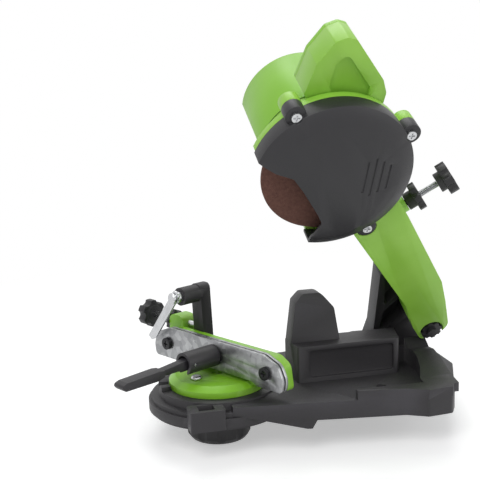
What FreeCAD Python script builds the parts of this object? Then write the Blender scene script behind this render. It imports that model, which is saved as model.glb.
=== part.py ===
import FreeCAD, Part
import math
import os
import re
from FreeCAD import Placement, Rotation, Vector

# Electric chainsaw sharpener for a bench. The base hooks over the bench edge at its front end,
# with a turntable vise there, and carries a grinding head on an inclined hinge at its rear end.
# Frame: +Z up, z = 0 on the bench, origin between the two bench screw holes, vise end towards -X.

SIZES = {
    # base casting
    "vise_reach": 132, "deck_top": 15, "deck_skin": 3.5, "rib": 3, "edge_margin": 6,
    "beam_half_front": 58, "beam_half_rear": 80, "foot_half": 89, "foot_end": 54, "rear_end": 86, "rear_start": -12,
    "lip_drop": 7, "lip_place": -64, "parapet_rise": 8, "parapet_wall": 5,
    "bench_hole": 4.5, "bench_hole_half_pitch": 48, "cell_pitch": 27,
    "seat_radius": 60, "seat_top": 16.7, "seat_bottom": -4,
    "box_left": -68, "box_right": 28, "box_front": -20, "box_back": 11, "box_top": 47,
    "tower_front": -6, "tower_height": 43, "tower_bevel": 2,
    # inclined hinge between base and head
    "hinge_x": 68, "hinge_y": -4, "hinge_z": 43, "tilt": 30,
    "pin_radius": 4, "pin_clearance": 0.06, "side_gap": 0.4, "pin_end": -1,
    "spring_coil": 6.2, "spring_wire": 0.8, "spring_bore": 7.6, "spring_floor": -16,
    "arm_front": -3, "arm_back": -36, "arm_wall": 4, "support_thickness": 19,
    "arm_rise": 182, "arm_run": 125.4,
    # grinding head
    "wheel_radius": 54, "wheel_width": 3.2, "wheel_bore": 11.5, "wheel_face": -8.5,
    "cover_radius": 62.7, "cover_wall": 2.5, "cover_dome": 7, "cover_flat": 50, "cover_back": -14,
    "lug_radius": 8, "lug_circle": 65, "lug_top": -3, "lug_gap": 0.5, "plate_thickness": 3,
    "screw_radius": 1.7, "screw_head": 3.8, "screw_head_gap": 0.2, "screw_length": 18,
    "can_radius": 46, "can_wall": 3, "can_split": -46, "can_end": -115, "can_flat": 30,
    "shaft_radius": 4, "bearing_radius": 11, "bearing_width": 7, "flange_radius": 18, "fan_radius": 25,
    "bearing_seat": -20, "shaft_hole": 5.5,
    "handle_front": -22, "handle_back": -50, "switch_depth": 8, "lead_u": 28, "lead_v": 4,
    # depth stop
    "stud_radius": 3, "stud_depth": -29, "stud_boss": 7,
    # vise
    "rail_turn": 60, "disc_radius": 42, "disc_height": 9, "disc_gap": 0.3,
    "rail_half": 82, "rail_thickness": 2.5, "chain_slot": 1.6, "rail_top": 38,
    "wall_back": 14, "wall_top": 35.5, "rail_screw_place": 62.5, "rail_screw_height": 23,
    "clamp_height": 25.5, "sleeve_radius": 9.5, "sleeve_end": 37.5,
    "post_place": -41, "post_width": 13, "post_depth": 11.5, "stop_height": 37.5,
    "arm_height": 70, "lock_knob_radius": 27.4, "turntable_bolt": 5,
}

doc = FreeCAD.newDocument("chainsaw_sharpener")
sheet = doc.addObject("Spreadsheet::Sheet", "Sizes")
for row, (alias, number) in enumerate(SIZES.items(), start=1):
    sheet.set("A%d" % row, alias)
    sheet.set("B%d" % row, str(number))
    sheet.setAlias("B%d" % row, alias)
doc.recompute()


def size(alias):
    return float(getattr(sheet, alias))


made = []


def new_body(label, place=None):
    body = doc.addObject("PartDesign::Body", label)
    body.Label = label
    body.Placement = place or Placement()
    made.append(body)
    return body


def plane_of(body, role):
    for feature in body.Origin.OriginFeatures:
        if feature.Role == role:
            return feature


def sketch_on(body, role, offset, turn=None):
    """Empty sketch on a body's origin plane, moved along the plane's normal by offset."""
    sketch = body.newObject("Sketcher::SketchObject", "Sketch")
    sketch.AttachmentSupport = [(plane_of(body, role), "")]
    sketch.MapMode = "FlatFace"
    sketch.AttachmentOffset = turn or Placement(Vector(0, 0, offset), Rotation())
    return sketch


def add_outline(sketch, corners):
    """Closed outline. A corner is (x, y) or (x, y, radius)."""
    points = [Vector(c[0], c[1], 0) for c in corners]
    count = len(points)
    ends = []
    for i in range(count):
        here, before, after = points[i], points[i - 1], points[(i + 1) % count]
        radius = corners[i][2] if len(corners[i]) > 2 else 0
        if not radius:
            ends.append((here, here, None))
            continue
        back = (before - here).normalize()
        ahead = (after - here).normalize()
        half = back.getAngle(ahead) / 2
        reach = radius / math.tan(half)
        middle = here + (back + ahead).normalize() * (radius / math.sin(half) - radius)
        ends.append((here + back * reach, here + ahead * reach, middle))
    for i in range(count):
        start, end, middle = ends[i]
        side = points[(i + 1) % count] - points[i]
        if (ends[(i + 1) % count][0] - end).dot(side) < -1e-6:
            raise ValueError("the corners at %s and the next one overlap" % (corners[i],))
        if middle is not None:
            sketch.addGeometry(Part.Arc(start, middle, end), False)
        nxt = ends[(i + 1) % count][0]
        if end.distanceToPoint(nxt) > 1e-4:
            sketch.addGeometry(Part.LineSegment(end, nxt), False)


def add_circle(sketch, x, y, radius):
    sketch.addGeometry(Part.Circle(Vector(x, y, 0), Vector(0, 0, 1), radius), False)


def set_length(feature, length):
    """Length as a number, or as text that names sizes of the sheet, which then drives it."""
    if isinstance(length, str):
        feature.setExpression("Length", re.sub(r"[a-z]\w*", lambda found: "Sizes." + found.group(), length))
    else:
        feature.Length = length


def pad(body, sketch, length):
    feature = body.newObject("PartDesign::Pad", "Pad")
    feature.Profile = sketch
    set_length(feature, length)
    doc.recompute()
    return feature


def cut(body, sketch, length, through=False, both=False):
    before = body.Shape.Volume
    feature = body.newObject("PartDesign::Pocket", "Pocket")
    feature.Profile = sketch
    feature.Type = 1 if through else 0
    set_length(feature, length)
    feature.Midplane = both
    doc.recompute()
    if body.Shape.Volume > before - 1e-3:
        raise ValueError("the cut in %s removes nothing" % body.Label)
    return feature


def slab(body, role, corners, start, thickness):
    sketch = sketch_on(body, role, start)
    add_outline(sketch, corners)
    return pad(body, sketch, thickness)


def trim(body, role, corners, start, depth, through=False, both=False):
    sketch = sketch_on(body, role, start)
    add_outline(sketch, corners)
    return cut(body, sketch, depth, through, both)


def drill(body, role, centres, radius, start, depth, through=False):
    sketch = sketch_on(body, role, start)
    for x, y in centres:
        add_circle(sketch, x, y, radius)
    return cut(body, sketch, depth, through)


def turn_profile(body, corners, subtract=False):
    """Solid of revolution about the body's own Z axis from an outline of (radius, height) corners."""
    sketch = sketch_on(body, "XZ_Plane", 0)
    add_outline(sketch, corners)
    before = body.Shape.Volume if subtract else 0
    feature = body.newObject("PartDesign::Groove" if subtract else "PartDesign::Revolution", "Turned")
    feature.Profile = sketch
    feature.ReferenceAxis = (sketch, ["V_Axis"])
    feature.Angle = 360
    doc.recompute()
    if subtract and body.Shape.Volume > before - 1e-3:
        raise ValueError("the groove in %s removes nothing" % body.Label)
    return feature


def turned(label, corners, place):
    body = new_body(label, place)
    turn_profile(body, corners)
    return body


def ring_corners(inner, outer, low, high, edge=0):
    if not edge:
        return [(inner, low), (outer, low), (outer, high), (inner, high)]
    return [(inner, low), (outer - edge, low), (outer, low + edge),
            (outer, high - edge), (outer - edge, high), (inner, high)]


def rectangle(left, low, right, high, radius=0):
    corners = [(left, low), (right, low), (right, high), (left, high)]
    return [(x, y, radius) for x, y in corners]


def polar(centre, radius, degrees):
    angle = math.radians(degrees)
    return centre[0] + radius * math.cos(angle), centre[1] + radius * math.sin(angle)


# Placements of the three local frames: the inclined hinge, the wheel axis on it, and the vise rails.
hinge_point = Vector(size("hinge_x"), size("hinge_y"), size("hinge_z"))
head_turn = Rotation(Vector(1, 0, 0), size("tilt"))
head = Placement(hinge_point, head_turn)
forward = Rotation(Vector(1, 0, 0), 90)
wheel_centre = (-size("arm_run"), size("arm_rise"))


def along_head(u, v):
    """Frame at (u, v) of the head whose Z axis is the hinge direction, towards the user."""
    return head.multiply(Placement(Vector(u, 0, v), forward))


spindle = along_head(*wheel_centre)
hinge_axis = along_head(0, 0)
rails = Placement(Vector(-size("vise_reach"), 0, size("seat_top") + size("disc_gap")),
                  Rotation(Vector(0, 0, 1), -size("rail_turn")))


def across_rails(along, high, back=0):
    """Frame on the rails whose Z axis points out through the front rail."""
    return rails.multiply(Placement(Vector(along, back, high), forward))


def along_rails(back, high, start=0):
    """Frame on the rails whose Z axis runs along them, from the stop screw knob inwards."""
    return rails.multiply(Placement(Vector(start, back, high), Rotation(Vector(0, 1, 0), 90)))


def hexagon(across):
    return [polar((0, 0), across / math.sqrt(3), 60 * i + 30) for i in range(6)]


def lobed_knob(label, place, radius, height, hub, bore, lobes, low=0):
    """Moulded star knob: lobed grip with a round hub below it."""
    body = new_body(label, place)
    slab_sketch = sketch_on(body, "XY_Plane", low)
    add_circle(slab_sketch, 0, 0, radius)
    pad(body, slab_sketch, height)
    scallops = sketch_on(body, "XY_Plane", low + height)
    for i in range(lobes):
        x, y = polar((0, 0), radius * 1.12, 360 / lobes * (i + 0.5))
        add_circle(scallops, x, y, radius * 0.33)
    cut(body, scallops, height, through=True)
    hub_sketch = sketch_on(body, "XY_Plane", low)
    add_circle(hub_sketch, 0, 0, radius * 0.62)
    hub_pad = pad(body, hub_sketch, hub)
    hub_pad.Reversed = True
    doc.recompute()
    if bore:
        drill(body, "XY_Plane", [(0, 0)], bore, low + height, height + hub + 1, through=True)
    return body


def base_casting():
    """Moulded base: beam with bench lip, round seat, box with stop tower, inclined hinge support."""
    body = new_body("base_casting")
    reach, top, end = size("vise_reach"), size("deck_top"), size("rear_end")
    front, rear, foot = -size("beam_half_front"), -size("beam_half_rear"), -size("foot_half")
    lip, drop = size("lip_place"), size("lip_drop")
    lowest = -drop - 3
    corner = size("foot_end")
    slab(body, "XY_Plane", [(-reach, front), (-reach / 4, front * 0.3 + rear * 0.7), (9, rear),
                            (corner - 29, foot, 4), (corner - 7, foot + 2, 5), (corner, rear + 4, 5),
                            (end - 2, size("rear_start"), 8), (end, -rear - 10, 8), (end - 16, -rear + 4, 8),
                            (corner - 7, -foot - 2, 5), (corner - 29, -foot, 4), (9, -rear), (-reach / 4, -front * 0.3 - rear * 0.7),
                            (-reach, -front)],
         lowest, top - lowest)

    # Sloping hood that rises from the front wall to the hinge, and its clearance under the arm.
    hood_left, hood_right = size("hinge_x") - 22, size("hinge_x") - 2
    slab(body, "XY_Plane", [(hood_left, 10), (hood_left - 3, -25, 30), (hood_left - 9, -45, 40),
                            (hood_left - 17, -62, 20), (hood_left - 19, rear + 1), (hood_right - 10, rear + 1),
                            (hood_right - 8, -60), (hood_right - 3, -30), (hood_right, 10)], top, 35)
    rise = size("hinge_z") - 43
    trim(body, "YZ_Plane", [(rear - 20, 21), (-62, 24), (-14, 31.5 + rise), (-2, 29.8 + rise),
                            (30, 48.3 + rise), (30, 70), (rear - 20, 70)], hood_right + 10, 70)

    # Support wall behind the arm, square to the hinge, with its triangular ribbed recess.
    back, thick = -size("arm_back") + size("side_gap"), size("support_thickness")
    tilted = Placement(Vector(size("hinge_x"), size("hinge_z"), 0), Rotation())
    lean = Placement(Vector(0, 0, -size("hinge_y")), Rotation())
    tilt_turn = Placement(Vector(), Rotation(Vector(1, 0, 0), size("tilt")))
    support_rear = Placement(Vector(0, 0, -back - thick), Rotation())
    support_plane = tilted.multiply(lean).multiply(tilt_turn).multiply(support_rear)
    wall = sketch_on(body, "XZ_Plane", 0, support_plane)
    add_outline(wall, [(-42, -68), (-39, -30), (-47, 44, 3), (-30, 51, 6), (-6, 27, 10), (12, 16, 10),
                       (17, -6, 12), (end - size("hinge_x") - 2, -68)])
    pad(body, wall, thick)
    recess_plane = support_plane.multiply(Placement(Vector(0, 0, thick), Rotation()))
    recess = sketch_on(body, "XZ_Plane", 0, recess_plane)
    add_outline(recess, [(-41, 38, 2), (-31, 43, 2), (-17, 27, 2), (-35, 3, 2)])
    add_outline(recess, [(-34, -4, 2), (-19, 16, 2), (-15, -8, 3), (-27, -28, 2), (-34, -28, 2)])
    cut(body, recess, thick * 0.6)

    # Parapets that step up beside the hinge, front and back.
    rise = size("parapet_rise")
    inner = size("parapet_wall")
    for side in (1, -1):
        outer = [(-31, front * 0.3 + rear * 0.7 - 0.3), (9, rear), (corner - 29, foot, 4),
                 (corner - 7, foot + 2, 5), (corner, rear + 4, 5), (corner + 2, rear + 14)]
        corners = outer + [(corner + 2 - inner, rear + 14), (corner - 8, rear + inner + 4),
                           (-31, front * 0.3 + rear * 0.7 + inner)]
        slab(body, "XY_Plane", [(c[0], side * c[1]) for c in corners], top, rise)

    # Box along the wheel plane with a framed front panel, and the tower that stops the arm.
    left, right = size("box_left"), size("box_right")
    box_front, box_back, box_top = size("box_front"), size("box_back"), size("box_top")
    slab(body, "XY_Plane", [(left + 3, box_front, 2), (right, box_front, 3), (right + 8, box_back),
                            (left, box_back, 2)], top, box_top - top)
    trim(body, "XZ_Plane", rectangle(left + 13, top + 4, right - 5, box_top - 4, 3), -box_front, 2.5)
    tower_top = box_top + size("tower_height")
    tower_front, tower_depth = size("tower_front"), box_back - size("tower_front")
    tower = sketch_on(body, "XZ_Plane", -box_back)
    add_outline(tower, [(left + 1, box_top - 1), (left + 6, tower_top - 7, 3), (left + 13, tower_top, 4),
                        (left + 29, tower_top, 8), (left + 41, tower_top - 14, 6), (left + 46, box_top - 1)])
    pad(body, tower, tower_depth)
    bevel = size("tower_bevel")
    trim(body, "YZ_Plane", [(tower_front - 1, tower_top - 3 * bevel), (tower_front, tower_top - 3 * bevel),
                            (tower_front + bevel, tower_top + 1), (tower_front - 1, tower_top + 1)],
         left + 60, 70)

    # Underside: open lip that hooks the bench edge, ribbed cells, then the round seat.
    trim(body, "XZ_Plane", [(-reach - 90, lowest - 1), (-reach - 90, 5.5), (-reach + 11, 5.5), (lip - 8, -drop),
                            (lip - 4, -drop), (lip, 0), (end + 60, 0), (end + 60, lowest - 1)],
         0, 400, through=True, both=True)
    cells(body)
    seat = sketch_on(body, "XY_Plane", size("seat_bottom"))
    add_circle(seat, -reach, 0, size("seat_radius") - 9)
    pad(body, seat, size("seat_top") - size("seat_bottom"))
    flange = sketch_on(body, "XY_Plane", size("seat_bottom") + 2.5)
    add_circle(flange, -reach, 0, size("seat_radius"))
    pad(body, flange, 8)
    step = sketch_on(body, "XY_Plane", size("seat_bottom"))
    add_circle(step, -reach, 0, size("seat_radius") - 2.5)
    pad(body, step, 14)

    # Scale lug with its open window on the seat, and the stop bosses beside the turntable.
    slab(body, "XY_Plane", rectangle(-reach - 36, -64, -reach - 7, -46, 1.5), -1, size("seat_top") + 0.3)
    trim(body, "XY_Plane", rectangle(-reach - 28, -60, -reach - 15, -49), size("seat_top"), 12)
    for angle in (168, 186):
        corners = [(*polar((-reach, 0), r, angle + turn),) for r, turn in
                   ((size("disc_radius") + 1, -4), (51, -4), (51, 4), (size("disc_radius") + 1, 4))]
        slab(body, "XY_Plane", corners, size("seat_top") - 1, 4.5)

    # Holes: two bench screws, the turntable bolt and the hinge pin.
    half = size("bench_hole_half_pitch")
    drill(body, "XY_Plane", [(0, half), (0, -half)], size("bench_hole"), top, 60, through=True)
    seat_bore = size("turntable_bolt") + size("pin_clearance")
    drill(body, "XY_Plane", [(-reach, 0)], seat_bore, size("seat_top"), 60, through=True)
    pin = sketch_on(body, "XZ_Plane", 0, recess_plane)
    add_circle(pin, 0, 0, size("pin_radius") + size("pin_clearance"))
    cut(body, pin, thick + 2)
    return body


def cells(body):
    """Rows of open cells under the deck, between ribs, clear of the seat and the screw bosses."""
    skin, rib, margin = size("deck_skin"), size("rib"), size("edge_margin")
    top, reach, end = size("deck_top"), size("vise_reach"), size("rear_end")
    pitch = size("cell_pitch")
    sketch = sketch_on(body, "XY_Plane", -size("lip_drop") - 3)
    slope = (end - size("foot_end")) / (size("beam_half_rear") + size("rear_start"))
    columns = int((reach + end - size("seat_radius")) // pitch)
    for i in range(columns):
        x = end - margin - pitch * (i + 1) + rib
        half = size("beam_half_rear") - margin - max(0, (9 - x)) * 0.18
        rows = int(2 * half // pitch)
        width = 2 * half / rows
        for j in range(rows):
            y = -half + width * j
            across = abs(abs(y + width / 2) - size("bench_hole_half_pitch"))
            at_boss = abs(x + pitch / 2) < 20 and across < 18
            limit = end - margin - max(0, size("rear_start") - y) * slope
            if at_boss or x + pitch - rib > limit:
                continue
            add_outline(sketch, rectangle(x, y + rib / 2, x + pitch - rib, y + width - rib / 2, 2))
    before = body.Shape.Volume
    feature = body.newObject("PartDesign::Pocket", "Cells")
    feature.Profile = sketch
    feature.Length = top - skin + size("lip_drop") + 3
    feature.Reversed = True
    doc.recompute()
    if body.Shape.Volume > before - 1:
        raise ValueError("the cells remove nothing")


def opening_edge():
    """Edge of the guard over its open lower left, where the wheel meets the chain, without its ends."""
    tip = polar((0, 0), size("cover_radius"), TIP_ANGLE)
    return [(tip[0] + 4, tip[1] - 4), (-34, 6), (-25, -6), (-9.5, -30), (-5.5, -38), (-11.5, -52)]


TIP_ANGLE = 162.5
LOW_ANGLE = 261.5


def guard_sector(sketch, radius):
    """Arc of the guard rim closed by the edge over the open part of the wheel."""
    stops = [Vector(*polar((0, 0), radius, angle), 0) for angle in (LOW_ANGLE, 305, 32, 100, TIP_ANGLE)]
    sketch.addGeometry(Part.Arc(stops[0], stops[1], stops[2]), False)
    sketch.addGeometry(Part.Arc(stops[2], stops[3], stops[4]), False)
    low, tip = (stops[0].x, stops[0].y), (stops[4].x, stops[4].y)
    edge = [tip] + opening_edge() + [low]
    for a, b in zip(edge[:-1], edge[1:]):
        sketch.addGeometry(Part.LineSegment(Vector(*a, 0), Vector(*b, 0)), False)


def lug_centres():
    return [polar((0, 0), size("lug_circle"), angle) for angle in (124, 32, 305)]


def arm_outline():
    return [(-128, 152), (-98, 122.6), (-68, 82), (-33, 34.5), (-20, 6.6, 14), (-9, -9.5, 7), (6, -10, 8),
            (15, 6, 10), (4, 37.4), (-5.5, 61, 10), (-54, 137), (-75, 168)]


def on_wheel(points):
    """Points given about the wheel axis, moved into the head frame."""
    return [(p[0] + wheel_centre[0], p[1] + wheel_centre[1]) + tuple(p[2:]) for p in points]


def can_outline(radius):
    """Motor housing outline about the wheel axis: round, with a flat that clears the vise."""
    flat = size("can_flat") - (size("can_radius") - radius)
    half = math.degrees(math.acos(flat / radius))
    first, last = polar((0, 0), radius, 230 - half), polar((0, 0), radius, 230 + half)
    return first, last


def add_can(sketch, radius, centre=(0, 0)):
    first, last = can_outline(radius)
    top_point = polar((0, 0), radius, 50)
    move = Vector(centre[0], centre[1], 0)
    start, middle, end = [Vector(*point, 0) + move for point in (last, top_point, first)]
    sketch.addGeometry(Part.Arc(start, middle, end), False)
    sketch.addGeometry(Part.LineSegment(end, start), False)


def head_front_shell():
    """Front moulding of the head: guard back plate, motor ring, grip and the channel of the arm."""
    body = new_body("head_front_shell", head)
    back, thick = size("cover_back"), size("plate_thickness")
    split = size("can_split")
    arm = sketch_on(body, "XZ_Plane", size("arm_back"))
    add_outline(arm, arm_outline())
    pad(body, arm, "arm_front - arm_back")
    clear = sketch_on(body, "XZ_Plane", size("arm_front") + 1)
    add_circle(clear, *wheel_centre, size("cover_radius") + 0.8)
    cut(body, clear, "arm_front + 1 - cover_back")
    drill(body, "XZ_Plane", on_wheel(lug_centres()[2:]), size("lug_radius") + size("lug_gap"),
          size("arm_front") + 1, "arm_front + 1 - cover_back")

    # Channel of the arm, open towards the base: it swings down over the stop tower.
    wall = size("arm_wall")
    channel = [(-140, 140), (-98, 100), (-68, 60), (-40, 20), (-28, 8), (-14, 18), (-1, 22), (-0.5, 36),
               (-10, 58), (-56, 128), (-78, 158), (-110, 170)]
    trim(body, "XZ_Plane", channel, size("arm_front") - wall, size("arm_front") - wall - size("arm_back") + 1)
    plate = new_plate(body, back, thick)

    # Motor ring and grip behind the plate.
    ring = sketch_on(body, "XZ_Plane", split)
    add_can(ring, size("can_radius"), wheel_centre)
    pad(body, ring, back - split)
    grip_front(body, split)
    seat = size("bearing_seat")
    bore = sketch_on(body, "XZ_Plane", seat)
    add_can(bore, size("can_radius") - size("can_wall"), wheel_centre)
    cut(body, bore, "bearing_seat - can_split + 1")
    hub = sketch_on(body, "XZ_Plane", seat - size("bearing_width"))
    add_circle(hub, *wheel_centre, size("bearing_radius") + size("can_wall"))
    pad(body, hub, "bearing_width")
    drill(body, "XZ_Plane", [wheel_centre], size("bearing_radius"), seat, "bearing_width")
    drill(body, "XZ_Plane", [wheel_centre], size("shaft_hole"), back, "cover_back - bearing_seat + 1")
    drill(body, "XZ_Plane", [wheel_centre], size("flange_radius") + 1, back, 4)

    # Pivot boss, hub recess, and the threaded boss of the depth stop.
    drill(body, "XZ_Plane", [(0, 0)], size("pin_radius") + size("pin_clearance"), 0, 60, through=True)
    recess = sketch_on(body, "XZ_Plane", size("arm_front"))
    add_circle(recess, 0, 0, 11)
    cut(body, recess, "arm_wall")
    floor = size("spring_floor")
    drill(body, "XZ_Plane", [(0, 0)], size("spring_bore"), floor, "spring_floor - arm_back + 1")
    return body


def new_plate(body, back, thick):
    """Guard back plate with three screw lugs."""
    sector = sketch_on(body, "XZ_Plane", back - thick - 3)
    sector.AttachmentOffset = Placement(Vector(wheel_centre[0], wheel_centre[1], back - thick - 3), Rotation())
    guard_sector(sector, size("cover_radius"))
    pad(body, sector, thick + 3)
    for x, y in on_wheel(lug_centres()):
        lug = sketch_on(body, "XZ_Plane", back - thick - 7)
        add_circle(lug, x, y, size("lug_radius"))
        pad(body, lug, thick + 7)
    drill(body, "XZ_Plane", on_wheel(lug_centres()), size("screw_radius"), back, 8)
    return sector


GRIP = [(-26, 60), (-20, 84, 4), (-9, 101, 4), (0, 104.5, 4), (7, 102.5, 4), (18, 89), (33, 70, 6), (37.5, 59, 6),
        (36.5, 47, 4), (44, 40), (40, 20), (0, 20)]


def grip_front(body, split):
    """Front half of the grip, with its scooped panel."""
    front = size("handle_front")
    slab(body, "XZ_Plane", on_wheel(GRIP), split, front - split)
    trim(body, "XZ_Plane", on_wheel([(-8, 66, 4), (-6, 84, 8), (2, 92, 5), (16, 74, 6), (24, 64, 6), (24, 52, 6),
                                     (4, 48, 6)]), front, 3)


def head_rear_shell():
    """Rear moulding: the deep motor housing with its vents, and the back half of the grip."""
    body = new_body("head_rear_shell", head)
    split, end, wall = size("can_split"), size("can_end"), size("can_wall")
    can = sketch_on(body, "XZ_Plane", end + 6)
    add_can(can, size("can_radius"), wheel_centre)
    pad(body, can, split - end - 6)
    cap = sketch_on(body, "XZ_Plane", end)
    add_can(cap, size("can_radius") - 5, wheel_centre)
    pad(body, cap, 7)
    slab(body, "XZ_Plane", on_wheel(GRIP), size("handle_back"), split - size("handle_back"))
    bore = sketch_on(body, "XZ_Plane", split)
    add_can(bore, size("can_radius") - wall, wheel_centre)
    cut(body, bore, split - end - 8)
    boss = sketch_on(body, "XZ_Plane", end + 4)
    add_circle(boss, *wheel_centre, size("bearing_radius") + 3)
    pad(body, boss, size("bearing_width") + 3)
    drill(body, "XZ_Plane", [wheel_centre], size("bearing_radius"), end + 7 + size("bearing_width"),
          size("bearing_width"))
    vents = sketch_on(body, "XZ_Plane", end + 6)
    for i in range(-3, 4):
        half = 11 if abs(i) < 3 else 7
        for side in (-1, 1):
            y = side * 26
            if abs(y) + half < 40 and not (side < 0 and i < 1):
                add_outline(vents, on_wheel(rectangle(i * 7 - 1.6, y - half + 4, i * 7 + 1.6, y + half - 4, 1.4)))
    cut(body, vents, 14)
    return body


def wheel_cover():
    """Black dished cover over the front of the wheel, open at the lower left, on three lugs."""
    body = new_body("wheel_cover", spindle)
    radius, wall = size("cover_radius"), size("cover_wall")
    dome, flat, back = size("cover_dome"), size("cover_flat"), size("cover_back")
    turn_profile(body, [(0, dome), (flat, dome), (radius, 0), (radius, back), (radius - wall, back),
                        (radius - wall, -1.5), (flat - 0.6, dome - wall), (0, dome - wall)])
    for x, y in lug_centres():
        lug = sketch_on(body, "XY_Plane", back)
        add_circle(lug, x, y, size("lug_radius"))
        pad(body, lug, "lug_top - cover_back")
    inside = sketch_on(body, "XY_Plane", size("lug_top"))
    add_circle(inside, 0, 0, radius - wall)
    cut(body, inside, "lug_top - cover_back")
    tip = polar((0, 0), radius + 10, TIP_ANGLE)
    low = polar((0, 0), radius + 10, LOW_ANGLE)
    mouth = sketch_on(body, "XY_Plane", dome + 1)
    add_outline(mouth, [tip] + opening_edge() + [low, (-90, low[1]), (-90, tip[1])])
    cut(body, mouth, dome - back + 2, through=True)
    drill(body, "XY_Plane", lug_centres(), 2.2, 0, 20, through=True)
    drill(body, "XY_Plane", lug_centres(), size("screw_head") + size("screw_head_gap"), dome + 1,
          dome + 1 - size("lug_top"))
    ribs = sketch_on(body, "XY_Plane", dome)
    for i in range(4):
        x = 22 + 6 * i
        half = 17 - abs(i - 1) * 3
        add_outline(ribs, rectangle(x - 0.8, 4 - half, x + 0.8, 4 + half))
    cut(body, ribs, 0.8)
    return body


def hinge_parts():
    """Hinge bolt, its nuts, the moulded hub at the arm and the return spring round the boss."""
    pin = size("pin_radius")
    back = size("arm_back") - size("side_gap") - size("support_thickness")
    turned("hinge_bolt", [(0, back - 5), (pin, back - 5), (pin, size("pin_end")), (0, size("pin_end"))], hinge_axis)
    nut = new_body("hinge_nut", hinge_axis)
    slab(nut, "XY_Plane", hexagon(13), back - 5, 5)
    drill(nut, "XY_Plane", [(0, 0)], pin, back, 6, through=True)
    hub = new_body("hinge_hub", hinge_axis)
    low = size("arm_front") - 4 + size("side_gap")
    disc = sketch_on(hub, "XY_Plane", low)
    add_circle(disc, 0, 0, 9.6)
    pad(hub, disc, 4)
    teeth = sketch_on(hub, "XY_Plane", low + 4)
    for i in range(8):
        add_circle(teeth, *polar((0, 0), 10, 45 * i), 1.9)
    cut(hub, teeth, 3)
    nose = sketch_on(hub, "XY_Plane", low + 4)
    add_circle(nose, 0, 0, 4.6)
    pad(hub, nose, 3)
    drill(hub, "XY_Plane", [(0, 0)], pin, size("pin_end"), 8)

    wire, coil = size("spring_wire"), size("spring_coil")
    seat, floor = size("arm_back") - size("side_gap"), size("spring_floor") - size("side_gap") / 2
    turned("return_spring", ring_corners(coil - wire, coil + wire, seat, floor), hinge_axis)


def spindle_parts():
    """Everything that turns with the motor: shaft, rotor, fan, flanges, wheel and its nut."""
    face, width = size("wheel_face"), size("wheel_width")
    shaft, flange = size("shaft_radius"), size("flange_radius")
    end = size("can_end") + 9
    turned("motor_shaft", [(0, end), (shaft, end), (shaft, face + 12), (0, face + 12)], spindle)
    turned("rotor", ring_corners(shaft, 22, end + 26, size("can_split") + 8, 1), spindle)
    turned("commutator", ring_corners(shaft, 11, end + 12, end + 23, 0.6), spindle)
    fan = new_body("motor_fan", spindle)
    fan_back, reach = size("can_split") + 10, size("fan_radius")
    hub = sketch_on(fan, "XY_Plane", fan_back)
    add_circle(hub, 0, 0, reach)
    pad(fan, hub, 2)
    blades = sketch_on(fan, "XY_Plane", fan_back + 2)
    for i in range(9):
        inner, outer = polar((0, 0), 15, 40 * i), polar((0, 0), reach - 1, 40 * i + 14)
        tip, root = polar((0, 0), reach - 1, 40 * i + 18), polar((0, 0), 15, 40 * i + 6)
        add_outline(blades, [inner, outer, tip, root])
    pad(fan, blades, 6)
    drill(fan, "XY_Plane", [(0, 0)], shaft, fan_back + 8, 9, through=True)
    back = face - width
    turned("inner_flange", [(shaft, back - 4), (flange - 2, back - 4), (flange, back - 2.5), (flange, back),
                            (size("wheel_bore") - 0.05, back), (size("wheel_bore") - 0.05, back + 2.6),
                            (shaft, back + 2.6)], spindle)
    turned("grinding_wheel", ring_corners(size("wheel_bore"), size("wheel_radius"), back, face, 0.4), spindle)
    turned("outer_flange", [(shaft, face), (flange, face), (flange, face + 1.6), (flange - 2, face + 3),
                            (shaft, face + 3)], spindle)
    nut = new_body("wheel_nut", spindle)
    slab(nut, "XY_Plane", hexagon(13), face + 3, 6)
    drill(nut, "XY_Plane", [(0, 0)], shaft, face + 9, 6, through=True)


def motor_parts():
    """Fixed motor pieces inside the housing: stator, two bearings and the brush holders."""
    outer = size("can_flat") - size("can_wall")
    end, split = size("can_end"), size("can_split")
    turned("stator", ring_corners(22.6, outer, end + 35, split + 8, 0.6), spindle)
    clearance = size("pin_clearance")
    ring = size("bearing_radius")
    front_place = size("bearing_seat") - size("bearing_width")
    for label, low in (("front_bearing", front_place), ("rear_bearing", end + 7)):
        turned(label, ring_corners(size("shaft_radius") + clearance, ring, low, low + size("bearing_width"), 0.5),
               spindle)
    brushes = new_body("brush_holders", spindle)
    low = end + 21
    for left, right in ((-20, -11.4), (11.4, 20)):
        slab(brushes, "XZ_Plane", rectangle(left, low, right, low + 11), -4, 8)
    carrier = sketch_on(brushes, "XY_Plane", low - 2.5)
    add_circle(carrier, 0, 0, outer)
    add_circle(carrier, 0, 0, 12)
    pad(brushes, carrier, 3)


def cover_screws():
    """Three pan-head screws through the lugs of the wheel cover."""
    body = new_body("cover_screws", spindle)
    head_seat = size("lug_top")
    low = head_seat - size("screw_length")
    shanks = sketch_on(body, "XY_Plane", low)
    for x, y in lug_centres():
        add_circle(shanks, x, y, size("screw_radius"))
    feature = pad(body, shanks, "screw_length")
    heads = sketch_on(body, "XY_Plane", head_seat)
    for x, y in lug_centres():
        add_circle(heads, x, y, size("screw_head"))
    pad(body, heads, 2.6)
    slots = sketch_on(body, "XY_Plane", head_seat + 2.6)
    for x, y in lug_centres():
        cross = [(-2.4, -0.5), (-0.5, -0.5), (-0.5, -2.4), (0.5, -2.4), (0.5, -0.5), (2.4, -0.5),
                 (2.4, 0.5), (0.5, 0.5), (0.5, 2.4), (-0.5, 2.4), (-0.5, 0.5), (-2.4, 0.5)]
        add_outline(slots, [(x + a, y + b) for a, b in cross])
    cut(body, slots, 1.2)
    return feature


STUD_ANGLE = 37
STUD_ENTRY = (-46, 130)


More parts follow.
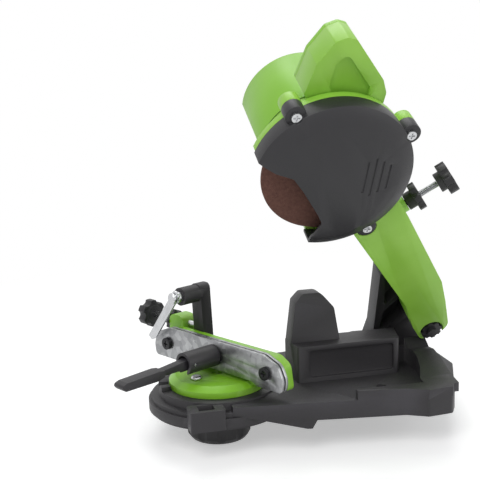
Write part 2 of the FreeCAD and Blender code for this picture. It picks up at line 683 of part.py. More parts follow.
def stud_axis(distance=0):
    """Frame on the depth stop's axis, distance out from the arm's edge, Z pointing outwards."""
    x, y = polar(STUD_ENTRY, distance, STUD_ANGLE)
    turn = Rotation(Vector(0, 1, 0), 90 - STUD_ANGLE)
    return head.multiply(Placement(Vector(x, -size("stud_depth"), y), turn))


def depth_stop():
    """Depth stop: a threaded stud with a star knob, and the lock knob that holds it on the arm."""
    stud = size("stud_radius")
    turned("depth_stud", [(0, -20), (stud - 0.6, -20), (stud, -18.8), (stud, 44), (0, 44)], stud_axis())
    lobed_knob("depth_knob", stud_axis(36), 13.5, 8, 5, stud, 6)
    lobed_knob("depth_lock_knob", stud_axis(8.5), 12, 6, 7, stud + size("pin_clearance"), 6)


def bore_for_stud(body):
    """Threaded bore of the depth stop through the arm's outer wall, in a boss square to it."""
    x, y = polar(STUD_ENTRY, -14, STUD_ANGLE)
    frame = Placement(Vector(x, -size("stud_depth"), y), Rotation(Vector(0, 1, 0), 90 - STUD_ANGLE))
    boss = body.newObject("Sketcher::SketchObject", "Sketch")
    boss.AttachmentSupport = [(plane_of(body, "XY_Plane"), "")]
    boss.MapMode = "FlatFace"
    boss.AttachmentOffset = frame
    add_circle(boss, 0, 0, size("stud_boss"))
    pad(body, boss, 15)
    hole = body.newObject("Sketcher::SketchObject", "Sketch")
    hole.AttachmentSupport = [(plane_of(body, "XY_Plane"), "")]
    hole.MapMode = "FlatFace"
    hole.AttachmentOffset = frame.multiply(Placement(Vector(0, 0, 16), Rotation()))
    add_circle(hole, 0, 0, size("stud_radius") + size("pin_clearance"))
    cut(body, hole, 40)


def rail_outline():
    half, top = size("rail_half"), size("rail_top")
    right = [(half - 22, top, 12), (half - 6, top - 6, 10), (half, 20, 12), (half - 2, 9.5, 4),
             (half - 30, 9.5, 3), (half - 37, 12.5, 3)]
    left = [(-c[0], c[1], c[2]) for c in reversed(right)]
    return right + left


def vise():
    """Turntable casting with its rear wall, the two steel rails, and what clamps them."""
    body = new_body("vise_casting", rails)
    disc, height, back = size("disc_radius"), size("disc_height"), size("wall_back")
    slot, thick = size("chain_slot") / 2, size("rail_thickness")
    face = slot + thick
    turn_profile(body, [(0, 0), (disc, 0), (disc, 5), (disc - 1.5, 6), (disc - 6, height), (0, height)])
    wall_top, half = size("wall_top"), size("rail_half")
    wall = sketch_on(body, "XZ_Plane", -back)
    add_outline(wall, [(half - 18, wall_top, 10), (half - 7, 29, 8), (half - 4, 8, 4), (half - 30, 7),
                       (24, 5), (-24, 5), (30 - half, 7), (4 - half, 8, 4), (5 - half, 26, 6),
                       (18 - half, wall_top, 8)])
    pad(body, wall, back - face)
    stop, place = size("stop_height"), size("post_place")
    lug = sketch_on(body, "XZ_Plane", -back - 13)
    add_outline(lug, [(4 - half, 18), (place - 17, 18), (place - 17, stop + 8, 7), (4 - half, stop + 8, 7)])
    pad(body, lug, 15)
    shelf_back = back + 18
    slab(body, "XY_Plane", [(place - 24, back - 2), (place + 22, back - 2), (place + 22, shelf_back - 4),
                            (place + 16, shelf_back), (place - 24, shelf_back)], 1, 8)
    slab(body, "XZ_Plane", [(-26, height - 1), (26, height - 1), (20, 16), (-20, 16)], -back - 8, 9)
    drill(body, "YZ_Plane", [(back + 6, stop)], size("stud_radius") + size("pin_clearance"), place - 10, 60)
    drill(body, "XY_Plane", [(0, 0)], size("turntable_bolt"), height, 20, through=True)
    seat = sketch_on(body, "XY_Plane", height)
    add_circle(seat, 0, -24, 3)
    cut(body, seat, 4)
    screw_place, screw_height = size("rail_screw_place"), size("rail_screw_height")
    holes = [(-screw_place, screw_height), (screw_place, screw_height), (0, size("clamp_height"))]
    drill(body, "XZ_Plane", holes, 2.5, -face, back)

    for label, start in (("rear_rail", -face), ("front_rail", slot)):
        rail = new_body(label, rails)
        slab(rail, "XZ_Plane", rail_outline(), start, thick)
        drill(rail, "XZ_Plane", holes, 2.56, start + thick, 9, through=True)

    screws = new_body("rail_screws", rails)
    spacers = new_body("rail_spacers", rails)
    for x, z in holes[:2]:
        shank = sketch_on(screws, "XZ_Plane", -back + 1)
        add_circle(shank, x, z, 2.5)
        pad(screws, shank, back - 1 + face)
        cap = sketch_on(screws, "XZ_Plane", face)
        add_circle(cap, x, z, 5.4)
        pad(screws, cap, 2.8)
        ring = sketch_on(spacers, "XZ_Plane", -slot)
        add_circle(ring, x, z, 5)
        add_circle(ring, x, z, 2.56)
        pad(spacers, ring, size("chain_slot"))
    cross = [(-2.8, -0.6), (-0.6, -0.6), (-0.6, -2.8), (0.6, -2.8), (0.6, -0.6), (2.8, -0.6),
             (2.8, 0.6), (0.6, 0.6), (0.6, 2.8), (-0.6, 2.8), (-0.6, 0.6), (-2.8, 0.6)]
    recess = sketch_on(screws, "XZ_Plane", face + 2.8)
    for x, z in holes[:2]:
        add_outline(recess, [(x + a, z + b) for a, b in cross])
    cut(screws, recess, 1.4)

    place = across_rails(0, size("clamp_height"))
    end = size("sleeve_end")
    turned("clamp_bolt", [(0, -back + 1), (2.5, -back + 1), (2.5, end - 14), (0, end - 14)], place)
    sleeve = turned("clamp_sleeve", [(2.56, face + 0.1), (size("sleeve_radius") - 1, face + 0.1),
                                     (size("sleeve_radius"), face + 1.5), (size("sleeve_radius"), end),
                                     (7, end), (7, end - 13), (2.56, end - 13)], place)
    mouth = sketch_on(sleeve, "XY_Plane", end + 1)
    add_outline(mouth, rectangle(-4.4, -12, 4.4, 0))
    cut(sleeve, mouth, 9)
    drill(sleeve, "YZ_Plane", [(0, end - 6)], 1.5, 12, 30, through=True)
    turned("lever_pin", [(0, -8.8), (1.5, -8.8), (1.5, 8.8), (0, 8.8)],
           across_rails(0, size("clamp_height")).multiply(
               Placement(Vector(0, 0, end - 6), Rotation(Vector(0, 1, 0), 90))))
    lever = new_body("clamp_lever", place)
    grip = sketch_on(lever, "YZ_Plane", -3.9)
    add_outline(grip, [(4.6, end - 8, 3), (3.2, end + 4), (1.5, end + 22), (1.5, end + 32),
                       (-3.4, end + 32), (-3.4, end), (-4.6, end - 9, 3), (0, end - 12, 4)])
    pad(lever, grip, 7.8)
    wide = sketch_on(lever, "YZ_Plane", -6)
    add_outline(wide, [(1.7, end + 24), (2.5, end + 29, 8), (1.2, end + 62, 3), (-1, end + 68, 2),
                       (-5.5, end + 64, 2), (-5.4, end + 32, 8), (-3.5, end + 24)])
    pad(lever, wide, 12)
    drill(lever, "YZ_Plane", [(0, end - 6)], 1.56, 6, 20, through=True)


def chain_stop():
    """Chain stop: a sliding post with its sleeve, the pawl on a shoulder screw, and the feed screw."""
    post = new_body("stop_post", rails)
    back, place, depth = size("wall_back"), size("post_place"), size("post_depth")
    width, high = size("post_width"), size("arm_height")
    near = back + size("side_gap")
    foot = size("disc_height") + size("side_gap")
    tall = [(place - width / 2 + 3, foot), (place + width / 2 + 3, foot), (place + width / 2 - 1, high + 8.5, 5),
            (place - width / 2 - 1, high + 8.5, 5)]
    slab(post, "XZ_Plane", tall, -near - depth, depth)
    sleeve = sketch_on(post, "XZ_Plane", -near - 2)
    add_circle(sleeve, place - 1, high, 8)
    pad(post, sleeve, near + 6)
    drill(post, "XZ_Plane", [(place - 1, high)], 2.5, 4, 14)
    stop = size("stop_height")
    drill(post, "YZ_Plane", [(back + 6, stop)], size("stud_radius") + size("pin_clearance"), place - 1, 30)

    pivot = across_rails(place - 1, high)
    turned("pawl_screw", [(0, -8), (2.5, -8), (2.5, 4.1), (5.2, 4.1), (5.2, 9), (2.8, 9), (2.8, 11.4), (5, 11.4),
                          (5, 13.4), (3.6, 14.6), (0, 14.6)], pivot)
    pawl = new_body("stop_pawl", pivot)
    swing, reach = 218, 56
    tip = polar((0, 0), reach, swing + 13)
    side = Vector(tip[0], tip[1], 0).normalize()
    across = Vector(-side.y, side.x, 0)
    half = 4.2

    def strip(distance, offset):
        point = side * distance + across * offset
        return point.x, point.y

    slab(pawl, "XY_Plane", [(*strip(-7, -half), 3), (*strip(-7, half), 3), (*strip(reach - 6, half), 1),
                            (*strip(reach, 1.5), 1), (*strip(reach, -half), 1)], 9.2, 2)
    drill(pawl, "XY_Plane", [(0, 0)], 2.8 + size("pin_clearance"), 12, 4, through=True)

    start = -114
    screw = along_rails(back + 6, stop, start)
    turned("stop_screw", [(0, 3.5), (size("stud_radius"), 3.5), (size("stud_radius"), place - start - 3),
                          (0, place - start - 3)], screw)
    lobed_knob("stop_knob", screw.multiply(Placement(Vector(0, 0, 3), Rotation(Vector(0, 1, 0), 180))),
               13, 9, 0.5, 0, 6)
    lobed_knob("stop_lock_nut", along_rails(back + 6, stop, 4 - size("rail_half") - 6.2), 9.5, 6, 0.2,
               size("stud_radius") + size("pin_clearance"), 8)


def turntable_lock():
    """Bolt through the turntable and the ribbed knob below that locks its angle."""
    low = size("seat_bottom")
    seat_top = size("seat_top") + size("disc_gap")
    place = Placement(Vector(-size("vise_reach"), 0, 0), Rotation())
    bolt = size("turntable_bolt")
    turned("turntable_bolt", [(0, low - 24), (bolt, low - 24), (bolt, seat_top + 6), (0, seat_top + 6)], place)
    turned("index_screw", [(0, 2.6), (2.5, 2.6), (2.5, 6.2), (4.6, 6.2), (4.6, 7.6), (3.4, 9), (0, 9)],
           rails.multiply(Placement(Vector(0, -24, 3), Rotation())))
    knob = new_body("turntable_knob", place)
    radius = size("lock_knob_radius")
    bore = bolt + size("pin_clearance")
    turn_profile(knob, [(bore, low - 0.4), (15, low - 0.4), (16, low - 4), (radius - 2, low - 5),
                        (radius, low - 8), (radius, low - 22), (radius - 3, low - 26),
                        (bore, low - 26)])
    grips = sketch_on(knob, "XY_Plane", low - 4)
    for i in range(10):
        add_circle(grips, *polar((0, 0), radius + 7.2, 36 * i + 10), 8.6)
    cut(knob, grips, 24)


def switch_parts():
    """Rocker switch in the rear of the grip, and the bushing of the power lead beside it."""
    place = head.multiply(Placement(Vector(wheel_centre[0] + 8, -size("handle_back"), wheel_centre[1] + 72),
                                    Rotation(Vector(1, 0, 0), -90)))
    frame = new_body("switch_frame", place)
    slab(frame, "XY_Plane", rectangle(-8, -12, 8, 12, 2), -8, 9.5)
    trim(frame, "XY_Plane", rectangle(-5.4, -9.4, 5.4, 9.4), 1.5, 8)
    rocker = new_body("switch_rocker", place)
    slab(rocker, "YZ_Plane", [(-8.6, -1.5), (-8.6, 3.6, 1), (0, 1.6, 8), (8.6, 0.6, 1), (8.6, -1.5), (2, -4, 1),
                              (-2, -4, 1)], -5, 10)
    turned("lead_bushing", [(3.4, -2), (5, -2), (5, 3.2), (7.5, 3.2), (7.5, 6), (5.4, 8), (3.4, 8)],
           head.multiply(Placement(Vector(wheel_centre[0] + size("lead_u"), -size("can_end") - 3.2,
                                          wheel_centre[1] + size("lead_v")), Rotation(Vector(1, 0, 0), -90))))


def finish_shells(front, rear):
    """Seats cut in the shells for the switch, the bushing and the screws that join the halves."""
    bore_for_stud(front)
    outline = rectangle(wheel_centre[0], wheel_centre[1] + 60, wheel_centre[0] + 16, wheel_centre[1] + 84, 2)
    for shell in (front, rear):
        trim(shell, "XZ_Plane", outline, size("handle_back") + size("switch_depth"), "switch_depth + 1")
    lead = sketch_on(rear, "XZ_Plane", size("can_end") + 12)
    add_circle(lead, wheel_centre[0] + size("lead_u"), wheel_centre[1] + size("lead_v"), 5)
    cut(rear, lead, 14)


base_casting()
front_shell = head_front_shell()
rear_shell = head_rear_shell()
finish_shells(front_shell, rear_shell)
wheel_cover()
cover_screws()
hinge_parts()
motor_parts()
spindle_parts()
depth_stop()
vise()
chain_stop()
turntable_lock()
switch_parts()
doc.recompute()

faults = [o.Label for o in doc.Objects if "Invalid" in o.State or "Error" in o.State]
for piece in made:
    if piece.Shape.isNull() or not piece.Shape.isValid():
        faults.append(piece.Label)
if faults:
    raise ValueError("these objects failed: %s" % ", ".join(faults))

os.makedirs("parts", exist_ok=True)
for piece in made:
    piece.Shape.exportStep("parts/%s.step" % piece.Label)
print(len(made), "sub-parts written")
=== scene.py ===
import math

import bpy
from mathutils import Matrix, Vector


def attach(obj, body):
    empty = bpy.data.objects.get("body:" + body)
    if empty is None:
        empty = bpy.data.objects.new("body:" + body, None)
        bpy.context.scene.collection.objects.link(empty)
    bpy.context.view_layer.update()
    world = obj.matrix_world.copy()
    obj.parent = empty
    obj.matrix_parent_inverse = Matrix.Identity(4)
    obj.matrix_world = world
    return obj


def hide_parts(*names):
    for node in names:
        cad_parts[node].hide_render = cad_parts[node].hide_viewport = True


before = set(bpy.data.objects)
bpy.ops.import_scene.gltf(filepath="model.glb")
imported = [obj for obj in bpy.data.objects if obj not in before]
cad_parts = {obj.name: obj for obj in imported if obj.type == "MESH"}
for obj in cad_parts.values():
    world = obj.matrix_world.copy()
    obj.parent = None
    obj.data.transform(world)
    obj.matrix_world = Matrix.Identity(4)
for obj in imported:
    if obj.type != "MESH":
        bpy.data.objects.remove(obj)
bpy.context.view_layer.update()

# Workshop table and light.
# A pale matt floor under a white surround, lit by three large soft lamps as for a catalogue picture.
def linear(colour):
    """sRGB hex to linear RGBA."""
    parts = [int(colour[i:i + 2], 16) / 255 for i in (1, 3, 5)]
    return [c / 12.92 if c <= 0.04045 else ((c + 0.055) / 1.055) ** 2.4 for c in parts] + [1.0]


def add(tree, kind, links=None, **values):
    """One shader node with its settings, its input values and its incoming links."""
    made = tree.nodes.new(kind)
    for name, value in values.items():
        setattr(made, name, value)
    for socket, source in (links or {}).items():
        if hasattr(source, "is_output"):
            tree.links.new(source, made.inputs[socket])
        else:
            made.inputs[socket].default_value = source
    return made


def nothing_selected():
    if bpy.context.mode != "OBJECT":
        bpy.ops.object.mode_set(mode="OBJECT")
    bpy.ops.object.select_all(action="DESELECT")


nothing_selected()
bpy.ops.mesh.primitive_plane_add(size=8, location=(0, 0, 0))
floor = bpy.context.object
floor.name = "floor"
for corner in floor.data.vertices:
    corner.co.z = -0.031
floor_paint = bpy.data.materials.new("matt_white_board")
floor_paint.use_nodes = True
tree = floor_paint.node_tree
tree.nodes.clear()
rays = add(tree, "ShaderNodeLightPath")
seen = add(tree, "ShaderNodeMath", {0: rays.outputs["Is Camera Ray"], 1: rays.outputs["Is Glossy Ray"]}, operation="MAXIMUM")
seen = add(tree, "ShaderNodeMath", {0: seen.outputs[0], 1: rays.outputs["Is Transmission Ray"]}, operation="MAXIMUM")
board = add(tree, "ShaderNodeBsdfDiffuse", {"Color": linear("#F2F2F1")})
glow = add(tree, "ShaderNodeEmission", {"Color": linear("#FFFFFF"), "Strength": 0.42})
part_glow = add(tree, "ShaderNodeMixShader", {0: seen.outputs[0]})
none = add(tree, "ShaderNodeEmission", {"Strength": 0.0})
tree.links.new(none.outputs[0], part_glow.inputs[1])
tree.links.new(glow.outputs[0], part_glow.inputs[2])
both = add(tree, "ShaderNodeAddShader", {0: board.outputs[0], 1: part_glow.outputs[0]})
# Away from the object the board runs out into plain white, so that no horizon shows behind it.
place = add(tree, "ShaderNodeTexCoord")
reach = add(tree, "ShaderNodeVectorMath", {0: place.outputs["Object"]}, operation="LENGTH")
fade = add(tree, "ShaderNodeMapRange", {"Value": reach.outputs["Value"], "From Min": 0.2, "From Max": 0.75})
fade = add(tree, "ShaderNodeMath", {0: fade.outputs[0], 1: seen.outputs[0]}, operation="MULTIPLY")
bare = add(tree, "ShaderNodeEmission", {"Color": linear("#FFFFFF"), "Strength": 1.0})
run_out = add(tree, "ShaderNodeMixShader", {0: fade.outputs[0], 1: both.outputs[0], 2: bare.outputs[0]})
add(tree, "ShaderNodeOutputMaterial", {"Surface": run_out.outputs[0]})
floor.data.materials.append(floor_paint)

world = bpy.data.worlds.new("white_surround")
bpy.context.scene.world = world
world.use_nodes = True
tree = world.node_tree
tree.nodes.clear()
rays = add(tree, "ShaderNodeLightPath")
seen = add(tree, "ShaderNodeMath", {0: rays.outputs["Is Camera Ray"], 1: rays.outputs["Is Glossy Ray"]}, operation="MAXIMUM")
seen = add(tree, "ShaderNodeMath", {0: seen.outputs[0], 1: rays.outputs["Is Transmission Ray"]}, operation="MAXIMUM")
soft = add(tree, "ShaderNodeBackground", {"Color": linear("#F4F6FA"), "Strength": 0.36})
white = add(tree, "ShaderNodeBackground", {"Color": linear("#FFFFFF"), "Strength": 1.0})
sky = add(tree, "ShaderNodeMixShader", {0: seen.outputs[0], 1: soft.outputs[0], 2: white.outputs[0]})
add(tree, "ShaderNodeOutputWorld", {"Surface": sky.outputs[0]})

for name, place, power, width in (("key_lamp", (-0.9, -1.3, 1.5), 15, 0.9), ("fill_lamp", (1.3, -1.1, 0.8), 6, 1.1),
                                  ("top_lamp", (0.1, 0.6, 1.7), 10, 1.2)):
    bpy.ops.object.light_add(type="AREA", location=place)
    lamp = bpy.context.object
    lamp.name = name
    lamp.data.energy = power
    lamp.data.size = width
    lamp.rotation_euler = (Vector((0, 0, 0.12)) - Vector(place)).to_track_quat("-Z", "Y").to_euler()

# The camera stands a little left of the user and above the head of the machine.
camera = bpy.data.objects.new("camera", bpy.data.cameras.new("camera"))
bpy.context.collection.objects.link(camera)
camera.data.lens = 67.5
camera.data.sensor_width = 36
camera.data.clip_start = 0.02
right, up, ahead = Vector((0.971527, -0.235269, -0.027987)), Vector((0.07004, 0.172344, 0.982544)), Vector((0.226338, 0.956529, -0.183915))
camera.matrix_world = Matrix(((right.x, up.x, -ahead.x, -0.281248), (right.y, up.y, -ahead.y, -0.730189),
                              (right.z, up.z, -ahead.z, 0.281107), (0, 0, 0, 1)))
bpy.context.scene.camera = camera
bpy.context.scene.view_settings.view_transform = "Standard"


# Base moulding.
# Glass-filled nylon, black, moulded in one piece with a spark-eroded grain, softly rounded at its edges
# where the mould's corners are, with a grey highlight painted along its convex edges.
def moulded(name, colour, edge_highlight_colour, rough, grain_mm, depth, coat=0.0):
    """Moulded plastic: eroded grain, faint flow clouding, a paler painted highlight on convex edges."""
    made = bpy.data.materials.new(name)
    made.use_nodes = True
    tree = made.node_tree
    shader = tree.nodes["Principled BSDF"]
    shader.inputs["IOR"].default_value = 1.5
    shader.inputs["Coat Weight"].default_value = coat
    shader.inputs["Coat Roughness"].default_value = 0.25
    place = add(tree, "ShaderNodeTexCoord")
    grain = add(tree, "ShaderNodeTexNoise", {"Vector": place.outputs["Object"], "Scale": 1000 / grain_mm, "Detail": 3.0, "Roughness": 0.6})
    cloud = add(tree, "ShaderNodeTexNoise", {"Vector": place.outputs["Object"], "Scale": 1000 / 45, "Detail": 4.0})
    edges = add(tree, "ShaderNodeNewGeometry")
    # Painted highlight: convex edges, picked out by pointiness and broken up by the cloud noise, take a paler colour
    # where light catches them.
    edge_highlight_mask = add(tree, "ShaderNodeMapRange", {"Value": edges.outputs["Pointiness"], "From Min": 0.52, "From Max": 0.62})
    painted_highlight_mask = add(tree, "ShaderNodeMath", {0: edge_highlight_mask.outputs[0], 1: cloud.outputs[0]}, operation="MULTIPLY")
    tone = add(tree, "ShaderNodeMix", {"Factor": cloud.outputs[0]}, data_type="RGBA")
    tone.inputs["A"].default_value = [c * 0.9 for c in linear(colour)[:3]] + [1]
    tone.inputs["B"].default_value = [min(1, c * 1.1) for c in linear(colour)[:3]] + [1]
    # The paler second colour is the painted edge highlight.
    shade = add(tree, "ShaderNodeMix", {"Factor": painted_highlight_mask.outputs[0], "B": linear(edge_highlight_colour)}, data_type="RGBA")
    tree.links.new(tone.outputs["Result"], shade.inputs["A"])
    tree.links.new(shade.outputs["Result"], shader.inputs["Base Color"])
    gloss = add(tree, "ShaderNodeMapRange", {"Value": grain.outputs[0], "From Min": 0.3, "From Max": 0.7, "To Min": rough - 0.06, "To Max": rough + 0.08})
    tree.links.new(gloss.outputs[0], shader.inputs["Roughness"])
    bump = add(tree, "ShaderNodeBump", {"Height": grain.outputs[0], "Strength": depth, "Distance": 0.0003})
    tree.links.new(bump.outputs[0], shader.inputs["Normal"])
    return made


def dressed(node, body, edge_mm, finish, turn=32):
    """A CAD piece's shape as a clean mesh with rounded mould edges."""
    nothing_selected()
    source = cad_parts[node]
    piece = bpy.data.objects.new(node + "_look", source.data.copy())
    bpy.context.collection.objects.link(piece)
    piece.select_set(True)
    bpy.context.view_layer.objects.active = piece
    bpy.ops.object.mode_set(mode="EDIT")
    bpy.ops.mesh.select_all(action="SELECT")
    bpy.ops.mesh.remove_doubles(threshold=0.00001)
    bpy.ops.mesh.dissolve_limited(angle_limit=math.radians(1.2))
    bpy.ops.object.mode_set(mode="OBJECT")
    if edge_mm:
        rounding = piece.modifiers.new("rounding", "BEVEL")
        rounding.width = edge_mm / 1000
        rounding.segments = 2
        rounding.limit_method = "ANGLE"
        rounding.angle_limit = math.radians(turn)
        rounding.use_clamp_overlap = True
        rounding.harden_normals = False
        bpy.ops.object.modifier_apply(modifier="rounding")
    piece.data.materials.clear()
    piece.data.materials.append(finish)
    bpy.ops.object.shade_smooth_by_angle(angle=math.radians(30))
    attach(piece, body)
    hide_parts(node)
    return piece


# The second colour of each moulded finish is its painted edge highlight.
black_nylon = moulded("black_glass_filled_nylon", "#262427", "#403E43", 0.52, 0.9, 0.3)
dressed("base_casting", "base", 0.7, black_nylon)


# Head front moulding and motor housing.
# Lime green ABS in two halves that meet behind the guard plate, with a fine satin grain and a paler
# highlight painted along its convex edges.
lime_abs = moulded("lime_green_abs", "#84C22A", "#A6D65E", 0.38, 0.7, 0.14, coat=0.1)
dressed("head_front_shell", "head", 0.8, lime_abs)
dressed("head_rear_shell", "head", 0.9, lime_abs)


# Seam round the motor housing.
# The two halves of the head meet in a narrow shadow line, a slim rolled bead that follows the housing.
wheel_middle = Vector((-0.0574, -0.095, 0.2006))
hinge_line = Vector((0, -0.8660254, -0.5))
nothing_selected()
bpy.ops.mesh.primitive_torus_add(major_radius=0.0461, minor_radius=0.0004, major_segments=96, minor_segments=8)
seam = bpy.context.object
seam.name = "housing_seam"
bpy.ops.object.mode_set(mode="EDIT")
bpy.ops.mesh.select_all(action="SELECT")
bpy.ops.mesh.bisect(plane_co=(0, 0, 0), plane_no=(math.cos(math.radians(230)), math.sin(math.radians(230)), 0),
                    use_fill=False, clear_outer=False)
bpy.ops.mesh.select_all(action="DESELECT")
bpy.ops.object.mode_set(mode="OBJECT")
flat = Vector((math.cos(math.radians(230)), math.sin(math.radians(230)), 0))
for corner in seam.data.vertices:
    beyond = corner.co.dot(flat) - 0.0301
    if beyond > 0:
        corner.co -= flat * beyond
seam_frame = Matrix(((1, 0, 0), (0, -0.5, 0.8660254), (0, -0.8660254, -0.5))).transposed()
seam.data.transform(Matrix.Translation(wheel_middle + hinge_line * -0.046) @ seam_frame.to_4x4())
shadow_line = moulded("dark_green_shadow_line", "#3F6418", "#4A7320", 0.7, 0.7, 0.1)
seam.data.materials.append(shadow_line)
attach(seam, "head")


# Wheel cover.
# Black ABS dish with a broad bevelled rim, held on three lugs, slightly glossier than the base.
cover_abs = moulded("black_satin_abs", "#242326", "#3A393D", 0.46, 0.8, 0.2)
dressed("wheel_cover", "head", 0.5, cover_abs)


# Bright screws and small turned parts.
# Zinc-plated steel, bright but not mirror-like, with fine turning lines left by the lathe.
def plated(name, colour, rough, line_mm, depth):
    """Plated or machined steel with fine tooling lines and a cloudy plating."""
    made = bpy.data.materials.new(name)
    made.use_nodes = True
    tree = made.node_tree
    shader = tree.nodes["Principled BSDF"]
    shader.inputs["Metallic"].default_value = 1.0
    place = add(tree, "ShaderNodeTexCoord")
    cloud = add(tree, "ShaderNodeTexNoise", {"Vector": place.outputs["Object"], "Scale": 1000 / 6, "Detail": 5.0})
    lines = add(tree, "ShaderNodeTexNoise", {"Vector": place.outputs["Object"], "Scale": 1000 / line_mm, "Detail": 2.0})
    tone = add(tree, "ShaderNodeMix", {"Factor": cloud.outputs[0]}, data_type="RGBA")
    tone.inputs["A"].default_value = [c * 0.78 for c in linear(colour)[:3]] + [1]
    tone.inputs["B"].default_value = [min(1, c * 1.12) for c in linear(colour)[:3]] + [1]
    tree.links.new(tone.outputs["Result"], shader.inputs["Base Color"])
    gloss = add(tree, "ShaderNodeMapRange", {"Value": cloud.outputs[0], "From Min": 0.3, "From Max": 0.7, "To Min": rough - 0.06, "To Max": rough + 0.1})
    tree.links.new(gloss.outputs[0], shader.inputs["Roughness"])
    bump = add(tree, "ShaderNodeBump", {"Height": lines.outputs[0], "Strength": depth, "Distance": 0.0001})
    tree.links.new(bump.outputs[0], shader.inputs["Normal"])
    return made


def finish_node(node, finish):
    """A CAD piece that keeps its own mesh and takes a finish."""
    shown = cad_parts[node]
    shown.data.materials.clear()
    shown.data.materials.append(finish)


bright_zinc = plated("bright_zinc_plate", "#C9CACC", 0.24, 0.5, 0.12)
for node, body in (("cover_screws", "head"), ("index_screw", "vise"), ("pawl_screw", "stop_carriage"),
                   ("stop_screw", "stop_feed"), ("wheel_nut", "spindle"), ("clamp_bolt", "vise"), ("lever_pin", "vise")):
    dressed(node, body, 0.15, bright_zinc)


# Grinding wheel.
# Pink-brown aluminium oxide in a vitrified bond: open, gritty and quite matt, 3.2 mm thick.
abrasive = bpy.data.materials.new("vitrified_aluminium_oxide")
abrasive.use_nodes = True
tree = abrasive.node_tree
shader = tree.nodes["Principled BSDF"]
place = add(tree, "ShaderNodeTexCoord")
grit = add(tree, "ShaderNodeTexVoronoi", {"Vector": place.outputs["Object"], "Scale": 1000 / 0.7})
pores = add(tree, "ShaderNodeTexNoise", {"Vector": place.outputs["Object"], "Scale": 1000 / 2.5, "Detail": 6.0})
tone = add(tree, "ShaderNodeMix", {"Factor": pores.outputs[0], "A": linear("#4A2E28"), "B": linear("#7B5549")}, data_type="RGBA")
tree.links.new(tone.outputs["Result"], shader.inputs["Base Color"])
shader.inputs["Roughness"].default_value = 0.92
bump = add(tree, "ShaderNodeBump", {"Height": grit.outputs["Distance"], "Strength": 0.6, "Distance": 0.0003})
tree.links.new(bump.outputs[0], shader.inputs["Normal"])
dressed("grinding_wheel", "spindle", 0.3, abrasive)
ground_steel = plated("ground_steel", "#A9ABAE", 0.33, 0.4, 0.2)
for node in ("inner_flange", "outer_flange", "motor_shaft"):
    dressed(node, "spindle", 0.2, ground_steel)


# Motor inside the housing.
# Copper windings, laminated steel and a nylon fan, all out of sight and plainly finished.
copper = plated("enamelled_copper", "#B8703F", 0.4, 0.6, 0.3)
for node, finish in (("rotor", copper), ("commutator", copper), ("stator", ground_steel), ("front_bearing", ground_steel),
                     ("rear_bearing", ground_steel), ("brush_holders", black_nylon), ("motor_fan", black_nylon),
                     ("hinge_bolt", ground_steel), ("hinge_nut", ground_steel), ("return_spring", ground_steel),
                     ("rail_spacers", ground_steel)):
    finish_node(node, finish)


# Knobs.
# Black phenolic with a moulded grain and well rounded lobes, so that they can be gripped with gloves.
knob_plastic = moulded("black_phenolic", "#1B1A1C", "#343338", 0.46, 0.8, 0.3)
for node, body, edge in (("depth_knob", "depth_grip", 1.4), ("depth_lock_knob", "depth_lock", 1.2), ("stop_knob", "stop_feed", 1.4),
                         ("stop_lock_nut", "stop_lock", 0.9), ("turntable_knob", "turntable_lock", 1.2)):
    dressed(node, body, edge, knob_plastic)
finish_node("hinge_hub", knob_plastic)


# Depth stop stud.
# Bright M6 studding: rolled thread on its whole length, modelled as fine rounded ridges at 1 mm pitch.
stud_foot = Vector((0.022, -0.04389, 0.17008)) - Vector((0.79864, -0.30091, 0.52119)) * 0.020
stud_axis = Vector((0.79864, -0.30091, 0.52119))
stud_length, stud_radius, pitch = 0.064, 0.003, 0.001
nothing_selected()
bpy.ops.mesh.primitive_circle_add(vertices=32, radius=stud_radius - 0.0006, fill_type="NGON", location=(0, 0, 0))
stud = bpy.context.object
stud.name = "depth_stud_thread"
bpy.ops.object.mode_set(mode="EDIT")
bpy.ops.mesh.select_all(action="SELECT")
steps = int(stud_length / pitch * 2)
for i in range(steps):
    bpy.ops.mesh.extrude_region_move(TRANSFORM_OT_translate={"value": (0, 0, stud_length / steps)})
    wide = 1.0 if i in (0, steps - 1) else (1.17 if i % 2 else 1 / 1.17)
    bpy.ops.transform.resize(value=(wide, wide, 1))
bpy.ops.mesh.select_all(action="SELECT")
bpy.ops.mesh.normals_make_consistent(inside=False)
bpy.ops.object.mode_set(mode="OBJECT")
stud.data.transform(Matrix.Translation(stud_foot) @ stud_axis.to_track_quat("Z", "Y").to_matrix().to_4x4())
stud.data.materials.append(bright_zinc)
bpy.ops.object.shade_smooth_by_angle(angle=math.radians(40))
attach(stud, "depth_screw")
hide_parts("depth_stud")


# Vise turntable.
# The same lime ABS as the head, turned disc and rear wall in one moulding.
dressed("vise_casting", "vise", 0.7, lime_abs)


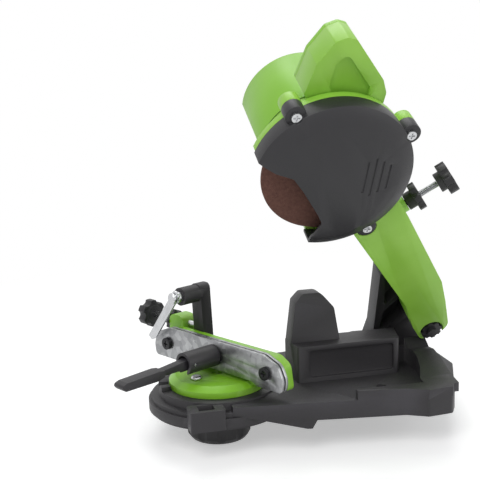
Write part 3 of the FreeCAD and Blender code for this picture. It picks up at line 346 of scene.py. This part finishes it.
# Vise rails.
# Galvanised sheet steel, 2.5 mm, laser cut: mottled grey spangle with a soft sheen and deburred edges.
spangle = bpy.data.materials.new("galvanised_sheet")
spangle.use_nodes = True
tree = spangle.node_tree
shader = tree.nodes["Principled BSDF"]
shader.inputs["Metallic"].default_value = 1.0
place = add(tree, "ShaderNodeTexCoord")
flake = add(tree, "ShaderNodeTexVoronoi", {"Vector": place.outputs["Object"], "Scale": 1000 / 5})
cloud = add(tree, "ShaderNodeTexNoise", {"Vector": place.outputs["Object"], "Scale": 1000 / 9, "Detail": 6.0})
split = add(tree, "ShaderNodeSeparateColor", {"Color": flake.outputs["Color"]})
blend = add(tree, "ShaderNodeMath", {0: split.outputs[0], 1: cloud.outputs[0]}, operation="MULTIPLY")
tone = add(tree, "ShaderNodeMix", {"Factor": blend.outputs[0], "A": linear("#8D8E90"), "B": linear("#C9CACB")}, data_type="RGBA")
tree.links.new(tone.outputs["Result"], shader.inputs["Base Color"])
gloss = add(tree, "ShaderNodeMapRange", {"Value": cloud.outputs[0], "From Min": 0.3, "From Max": 0.7, "To Min": 0.3, "To Max": 0.5})
tree.links.new(gloss.outputs[0], shader.inputs["Roughness"])
dressed("front_rail", "vise", 0.35, spangle)
dressed("rear_rail", "vise", 0.35, spangle)
black_oxide = plated("black_oxide_steel", "#3A3A3C", 0.4, 0.4, 0.2)
dressed("rail_screws", "vise", 0.25, black_oxide)


# Chain clamp and stop.
# Black nylon sleeve, cam lever and post, with a bright plated pawl that rests on the chain.
for node, body, edge in (("clamp_sleeve", "vise", 0.6), ("clamp_lever", "lever", 1.0), ("stop_post", "stop_carriage", 0.7)):
    dressed(node, body, edge, black_nylon)
dressed("stop_pawl", "pawl", 0.3, bright_zinc)
finish_node("turntable_bolt", ground_steel)


# Switch and lead bushing.
# Black nylon frame and rocker in the grip's rear face, and the soft PVC bushing that the lead leaves by.
dressed("switch_frame", "head", 0.4, black_nylon)
dressed("switch_rocker", "switch", 0.4, knob_plastic)
soft_pvc = moulded("soft_black_pvc", "#1E1D1F", "#3B3A3D", 0.6, 1.1, 0.25)
finish_node("lead_bushing", soft_pvc)
